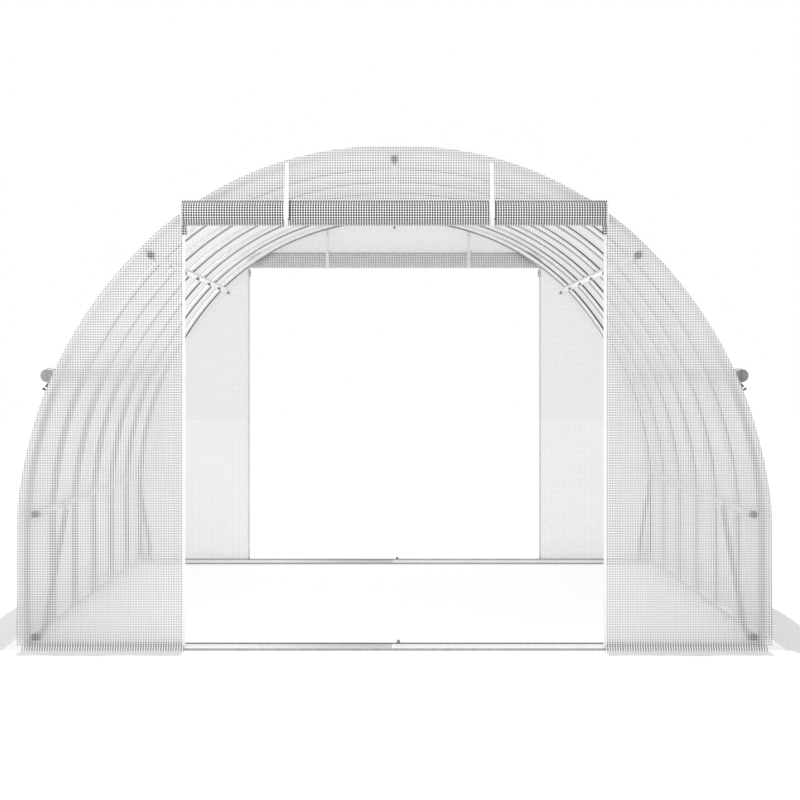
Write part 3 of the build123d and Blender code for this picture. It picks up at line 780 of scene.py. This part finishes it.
def on_side_skirt(u, y, side):
    u, y = np.broadcast_arrays(np.asarray(u, float), np.asarray(y, float))
    z = skirt_height(u, SIDE_SLOPE, FOOT_Z)
    z = z + wave(y, u, side) * np.clip((u - SIDE_SLOPE) / WAVE_START, 0, 1)
    return np.stack([side * (SKIRT_X + u), y, z], -1)


def on_end_skirt(x, v, end):
    x, v = np.broadcast_arrays(np.asarray(x, float), np.asarray(v, float))
    z = skirt_height(v, END_SLOPE, PANEL_FOOT_Z)
    z = z + wave(END_WAVE_RATE * x, v, end) * np.clip((v - END_SLOPE) / WAVE_START, 0, 1)
    return np.stack([x, end * (SKIRT_Y + v), z], -1)


def tongue_root(y):
    return np.interp(np.abs(y), [SKIRT_Y, SKIRT_Y + END_REACH], [TONGUE_ROOT, TONGUE_TIP])


U_ROWS = np.array([0, 0.03, SIDE_SLOPE, 0.09, 0.12, 0.16, 0.20, 0.24, SIDE_REACH])
V_ROWS = np.array([0, 0.016, END_SLOPE, 0.06, 0.10, 0.15, 0.19, 0.23, END_REACH])
SKIRT_ROWS = np.linspace(-SKIRT_Y, SKIRT_Y, 97)
for side, hand in ((-1, "left"), (1, "right")):
    films = [on_side_skirt(U_ROWS[:, None], SKIRT_ROWS[None, :], side)]
    lines = [line_grid(U_ROWS[:, None], SKIRT_ROWS[None, :])]
    for end in (-1, 1):
        y = end * np.linspace(SKIRT_Y, SKIRT_Y + END_REACH, 7)
        u = tongue_root(y) + np.linspace(0, 1, 7)[:, None] * (SIDE_REACH - tongue_root(y))
        films += [on_side_skirt(u, y[None, :], side)]
        lines += [line_grid(u, y[None, :])]
    skirt = build(f"{hand}_skirt_film", films, SKIRT_FILM, lines=lines)
    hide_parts(f"{hand}_skirt")
for end, gable in ((-1, "front"), (1, "rear")):
    for side, hand in ((-1, "left"), (1, "right")):
        x = side * np.linspace(*END_X, 17)[None, :]
        film, lines = on_end_skirt(x, V_ROWS[:, None], end), line_grid(x, V_ROWS[:, None])
        skirt = build(f"{gable}_{hand}_skirt_film", [film], SKIRT_FILM, lines=[lines])
        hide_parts(f"{gable}_skirts")


# Bolts through every crossing of the frame: profiles by radius and height, turned round an axis
def turned(origin, axis, profile, sides):
    axis = np.asarray(axis, float) / np.linalg.norm(axis)
    other = X if abs(axis[0]) < 0.7 else Z
    p = np.cross(axis, other)
    p /= np.linalg.norm(p)
    q = np.cross(axis, p)
    angle = np.linspace(0, 2 * np.pi, sides + 1)
    ring = np.cos(angle)[:, None] * p + np.sin(angle)[:, None] * q
    profile = np.asarray(profile, float)
    return np.asarray(origin) + ring[:, None, :] * profile[None, :, :1] + profile[None, :, 1:] * axis


NUT = [(0.0, 0.0075), (0.0066, 0.0075), (0.0072, 0.0066), (0.0072, 0.0018)]
WASHER = [(0.0072, 0.0018), (0.0098, 0.0018), (0.0100, 0.0003), (0.0100, -0.0005)]
TIP = [(0.0, 0.0135), (0.0028, 0.0135), (0.0034, 0.0125), (0.0034, 0.0070)]
DOME = [(0.0, 0.0052), (0.0030, 0.0049), (0.0060, 0.0036), (0.0078, 0.0015), (0.0080, -0.0008)]
CAP = [(0.0, 0.0125), (0.0030, 0.0119), (0.0055, 0.0098), (0.0066, 0.0070), (0.0072, 0.0066), (0.0072, 0.0)]


def fastener(origin, axis):
    return [turned(origin, axis, NUT, 6), turned(origin, axis, WASHER, 14), turned(origin, axis, TIP, 10)]


# Crossings: place and outward way in x and z, and whether the bolt's head shows outside
HOOP_LOW = arch_through((LEG_X, SPRING_Z), arch_point(HOOP_HAUNCH_SHARES), SHOULDER)
HOOP_TOP = arch_through(SHOULDER, arch_point(HOOP_CROWN_SHARES), (0, RIDGE_Z))
LEAN = (HOOP_LOW[2][1] + HOOP_TOP[2][0]) / 2
WAIST_X = float(arc_rows(HOOP_LOW, [share_at(HOOP_LOW, WAIST_Z)])[0, 0])
CROSSINGS = [((0, RIDGE_Z), (0, 1), False)]
for side in (-1, 1):
    CROSSINGS += [((side * SHOULDER[0], SHOULDER[1]), (side * math.cos(LEAN), math.sin(LEAN)), False)]
    CROSSINGS += [((side * WAIST_X, WAIST_Z), (side, 0), True), ((side * LEG_X, GROUND_Z), (side, 0), True)]
NUT_SEAT = PURLIN_DROP + TUBE_R
bolt_grids = []
for y in HOOP_Y:
    for (x, z), (nx, nz), open_outside in CROSSINGS:
        bolt_grids += fastener((x - nx * NUT_SEAT, y, z - nz * NUT_SEAT), (-nx, 0, -nz))
        if open_outside:
            bolt_grids += [turned((x + nx * TUBE_R, y, z), (nx, 0, nz), DOME, 12)]
for y in (HOOP_Y[0], HOOP_Y[-1]):
    bolt_grids += [turned((SILL_BOLT_X, y, 2 * TUBE_R - SILL_BOLT_SINK), (0, 0, 1), CAP, 12)]
bolts = build("frame_bolts", bolt_grids, BOLT)
bolts.data.set_sharp_from_angle(angle=BOLT_CREASE)

# Plugs in the open ends of the purlins
PLUG = [(0.0, 0.0), (PLUG_R / 2, 0.0), (PLUG_R, 0.0), (PLUG_R, -PLUG_DEPTH)]
plug_grids = []
for end in (-1, 1):
    for (x, z), (nx, nz), _ in CROSSINGS:
        origin = (x - nx * PURLIN_DROP, end * (HALF + PLUG_Y), z - nz * PURLIN_DROP)
        plug_grids += [turned(origin, (0, end, 0), PLUG, 20)]
plugs = build("tube_end_plugs", plug_grids, BLACK_AND_PAINTED_SHADE)
plugs.data.set_sharp_from_angle(angle=BOLT_CREASE)

# Frame tubes keep their CAD shapes
# Hoops, sills, braces and low purlins take steels with painted shade; the first hoop takes painted light
PAINTED_SHADE_STEELS = {"hoop": HOOP_STEEL, "sill": SILL_STEEL, "braces": BRACE_STEEL,
            "waist": LOW_STEEL, "ground": LOW_STEEL}
for name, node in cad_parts.items():
    if name.startswith("hoop_") or name.endswith(("_purlin", "_sill", "_braces")):
        node.data.materials.clear()
        words = name.split("_")
        dressed = [shaded_steel for word, shaded_steel in PAINTED_SHADE_STEELS.items() if word in words]
        node.data.materials.append(END_STEEL if name == "hoop_1" else (dressed + [STEEL])[0])
        node.data.polygons.foreach_set("use_smooth", np.full(len(node.data.polygons), True))
        node.data.set_sharp_from_angle(angle=TUBE_CREASE)

# Floor
scene = bpy.context.scene
mesh = bpy.data.meshes.new("floor")
corners = [(FLOOR_HALF * x, FLOOR_HALF * y, 0) for x, y in ((-1, -1), (1, -1), (1, 1), (-1, 1))]
mesh.from_pydata(corners, [], [(0, 1, 2, 3)])
floor = bpy.data.objects.new("floor", mesh)
scene.collection.objects.link(floor)
floor_mat, _, _, bsdf = material("floor")
bsdf.inputs["Base Color"].default_value = (FLOOR_TONE, FLOOR_TONE, FLOOR_TONE, 1)
bsdf.inputs["Roughness"].default_value = FLOOR_ROUGH
bsdf.inputs["Specular IOR Level"].default_value = 0.0
bsdf.inputs["Emission Color"].default_value = (1, 1, 1, 1)
bsdf.inputs["Emission Strength"].default_value = FLOOR_GLOW
mesh.materials.append(floor_mat)
floor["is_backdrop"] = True

# White studio, full white where it is seen directly
world = bpy.data.worlds.new("studio")
scene.world = world
world.use_nodes = True
nodes, links = world.node_tree.nodes, world.node_tree.links
background = nodes["Background"]
background.inputs["Color"].default_value = (1, 1, 1, 1)
rays = nodes.new("ShaderNodeLightPath").outputs
seen = calculate(nodes, links, "MAXIMUM", rays["Is Camera Ray"], rays["Is Transmission Ray"])
unseen_level = between(nodes, links, rays["Is Glossy Ray"], SKY_LEVEL, SKY_GLOSSY_LEVEL)
level = nodes.new("ShaderNodeMix")
level.inputs["B"].default_value = SKY_SEEN_LEVEL
links.new(seen, level.inputs["Factor"])
links.new(unseen_level, level.inputs["A"])
links.new(level.outputs["Result"], background.inputs["Strength"])


# Lights and camera
def area_light(name, where, size, energy):
    light = bpy.data.lights.new(name, "AREA")
    light.shape = "SQUARE"
    light.size = size
    light.energy = energy
    obj = bpy.data.objects.new(name, light)
    obj.location = where
    obj.rotation_euler = (Vector(LIGHT_AIM) - Vector(where)).to_track_quat("-Z", "Y").to_euler()
    scene.collection.objects.link(obj)


for name, light in LIGHTS.items():
    area_light(name, *light)

camera = bpy.data.objects.new("camera", bpy.data.cameras.new("camera"))
camera.location = CAMERA_PLACE
camera.rotation_euler = (math.radians(90), 0, 0)
camera.data.lens = CAMERA_LENS
camera.data.sensor_width = CAMERA_SENSOR
camera.data.shift_x, camera.data.shift_y = CAMERA_SHIFT
camera.data.clip_end = CAMERA_REACH
scene.collection.objects.link(camera)
scene.camera = camera
scene.view_settings.view_transform = "Standard"

boxes = {"cad": CAD_BOX, "visual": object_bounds()}
boxes = {name: [[float(value) for value in corner] for corner in box] for name, box in boxes.items()}
